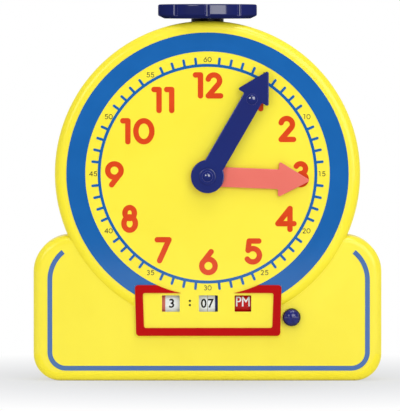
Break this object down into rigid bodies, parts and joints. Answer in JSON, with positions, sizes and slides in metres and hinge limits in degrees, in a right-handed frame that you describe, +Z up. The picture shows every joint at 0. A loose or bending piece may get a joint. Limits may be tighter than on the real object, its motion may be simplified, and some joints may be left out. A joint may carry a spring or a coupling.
{
  "type": "geared teaching clock",
  "caption": "Free-standing demonstration clock: a top knob turns geared hands and rolling number drums behind windows, and a push button drops a shutter over them.",
  "frame": {"origin": "centre of the clock's footprint, on the surface it stands on; the case shells meet in the plane y = 0", "axes": "+Z up, +Y towards the back (the dial faces -Y), +X to the right of someone who reads the dial"},
  "size_m": [0.306, 0.0871, 0.331],
  "materials": {
    "case_yellow": "moulded ABS, smooth semi-gloss",
    "screw_steel": "zinc plated",
    "shaft_steel": "drawn steel",
    "band_blue": "printed ink",
    "stripe_blue": "printed ink",
    "numeral_orange": "printed ink",
    "numeral_grey": "printed ink",
    "ink_black": "printed ink",
    "bezel_red": "moulded, semi-gloss",
    "bush_black": "moulded nylon",
    "frame_black": "moulded ABS",
    "gear_white": "moulded acetal",
    "knob_navy": "moulded, gloss",
    "hand_navy": "moulded, gloss",
    "button_navy": "moulded, gloss, pebbled dome",
    "hand_salmon": "moulded, semi-gloss",
    "drum_salmon": "moulded",
    "drum_navy": "moulded",
    "drum_red": "moulded",
    "label_white": "printed film",
    "label_red": "printed film",
    "shutter_yellow": "moulded ABS"
  },
  "bodies": {
    "case": {"front_shell": "case_yellow", "rear_shell": "case_yellow", "case_screws": "screw_steel", "dial_band": "band_blue", "minute_track": "band_blue", "hour_numerals": "numeral_orange", "minute_numerals": "numeral_grey", "border_stripe": "stripe_blue", "colon_dots": "ink_black", "display_bezel": "bezel_red", "knob_bush": "bush_black", "movement_plate": "frame_black", "plate_screws": "screw_steel", "wheel_stud": "shaft_steel", "transfer_axle": "shaft_steel", "transfer_spacer": "gear_white", "left_bearing_plate": "frame_black", "right_bearing_plate": "frame_black", "frame_screws": "screw_steel", "button_spring": "shaft_steel"},
    "knob_and_shaft": {"knob": "knob_navy", "knob_screw": "screw_steel", "drive_shaft": "shaft_steel", "upper_bevel_wheel": "gear_white", "lower_bevel_wheel": "gear_white"},
    "minute_hand_arbor": {"minute_arbor": "shaft_steel", "arbor_bevel": "gear_white", "cannon_pinion": "gear_white", "minute_hand": "hand_navy", "hub_cap": "hand_navy"},
    "hour_hand_wheel": {"hour_wheel": "gear_white", "hour_hand": "hand_salmon"},
    "minute_wheel": {"minute_wheel": "gear_white"},
    "lay_shaft": {"lay_shaft": "shaft_steel", "lay_shaft_clips": "shaft_steel", "bevel_pinion": "gear_white", "tens_drive_gear": "gear_white", "units_drive_gear": "gear_white"},
    "hour_drum_axle": {"drum_axle": "shaft_steel", "drum_axle_clips": "shaft_steel", "hour_drum": "drum_salmon", "hour_label": "label_white", "axle_pinion": "gear_white"},
    "tens_drum": {"tens_drum": "drum_navy", "tens_label": "label_white"},
    "units_drum": {"units_drum": "drum_navy", "units_label": "label_white"},
    "ampm_drum": {"ampm_drum": "drum_red", "ampm_label": "label_red"},
    "hour_transfer": {"hour_transfer": "gear_white"},
    "ampm_transfer": {"ampm_transfer": "gear_white"},
    "shutter": {"shutter": "shutter_yellow", "shutter_crank": "shutter_yellow"},
    "push_button": {"push_button": "button_navy"}
  },
  "joints": [
    {"name": "knob_turn", "type": "hinge", "parent": "case", "child": "knob_and_shaft", "pos_m": [0, 0, 0.32], "axis": [0, 0, 1], "continuous": true},
    {"name": "minute_hand_turn", "type": "hinge", "parent": "case", "child": "minute_hand_arbor", "pos_m": [0, 0, 0.1799], "axis": [0, 1, 0], "continuous": true},
    {"name": "hour_hand_turn", "type": "hinge", "parent": "case", "child": "hour_hand_wheel", "pos_m": [0, 0, 0.1799], "axis": [0, 1, 0], "continuous": true},
    {"name": "minute_wheel_turn", "type": "hinge", "parent": "case", "child": "minute_wheel", "pos_m": [-0.027, 0, 0.1799], "axis": [0, 1, 0], "continuous": true},
    {"name": "lay_shaft_turn", "type": "hinge", "parent": "case", "child": "lay_shaft", "pos_m": [0, 0, 0.10108], "axis": [1, 0, 0], "continuous": true},
    {"name": "units_drum_turn", "type": "hinge", "parent": "case", "child": "units_drum", "pos_m": [0, -0.0028, 0.0682], "axis": [1, 0, 0], "continuous": true},
    {"name": "tens_drum_turn", "type": "hinge", "parent": "case", "child": "tens_drum", "pos_m": [0, -0.0028, 0.0682], "axis": [1, 0, 0], "continuous": true},
    {"name": "hour_transfer_turn", "type": "hinge", "parent": "case", "child": "hour_transfer", "pos_m": [0, 0.0049, 0.0418], "axis": [1, 0, 0], "continuous": true},
    {"name": "hour_drum_turn", "type": "hinge", "parent": "case", "child": "hour_drum_axle", "pos_m": [0, -0.0028, 0.0682], "axis": [1, 0, 0], "continuous": true},
    {"name": "ampm_transfer_turn", "type": "hinge", "parent": "case", "child": "ampm_transfer", "pos_m": [0, 0.0049, 0.0418], "axis": [1, 0, 0], "continuous": true},
    {"name": "ampm_drum_turn", "type": "hinge", "parent": "case", "child": "ampm_drum", "pos_m": [0, -0.0028, 0.0682], "axis": [1, 0, 0], "continuous": true},
    {"name": "button_press", "type": "slide", "parent": "case", "child": "push_button", "axis": [0, 1, 0], "range_m": [0, 0.0045], "stiffness_N_per_m": 300, "springref_m": -0.002, "deforming": ["button_spring"]},
    {"name": "shutter_swing", "type": "hinge", "parent": "case", "child": "shutter", "pos_m": [0, -0.0028, 0.0682], "axis": [1, 0, 0], "range_deg": [0, 40]}
  ],
  "couplings": [
    {"joint": "minute_hand_turn", "follows": "knob_turn", "ratio": 1},
    {"joint": "hour_hand_turn", "follows": "knob_turn", "ratio": 0.083333},
    {"joint": "minute_wheel_turn", "follows": "knob_turn", "ratio": -0.33333},
    {"joint": "lay_shaft_turn", "follows": "knob_turn", "ratio": -2},
    {"joint": "units_drum_turn", "follows": "knob_turn", "ratio": 6},
    {"joint": "tens_drum_turn", "follows": "knob_turn", "ratio": 1},
    {"joint": "hour_transfer_turn", "follows": "knob_turn", "ratio": -0.33333},
    {"joint": "hour_drum_turn", "follows": "knob_turn", "ratio": 0.083333},
    {"joint": "ampm_transfer_turn", "follows": "knob_turn", "ratio": -0.083333},
    {"joint": "ampm_drum_turn", "follows": "knob_turn", "ratio": 0.041667},
    {"joint": "shutter_swing", "follows": "button_press", "rad_per_m": 155}
  ]
}
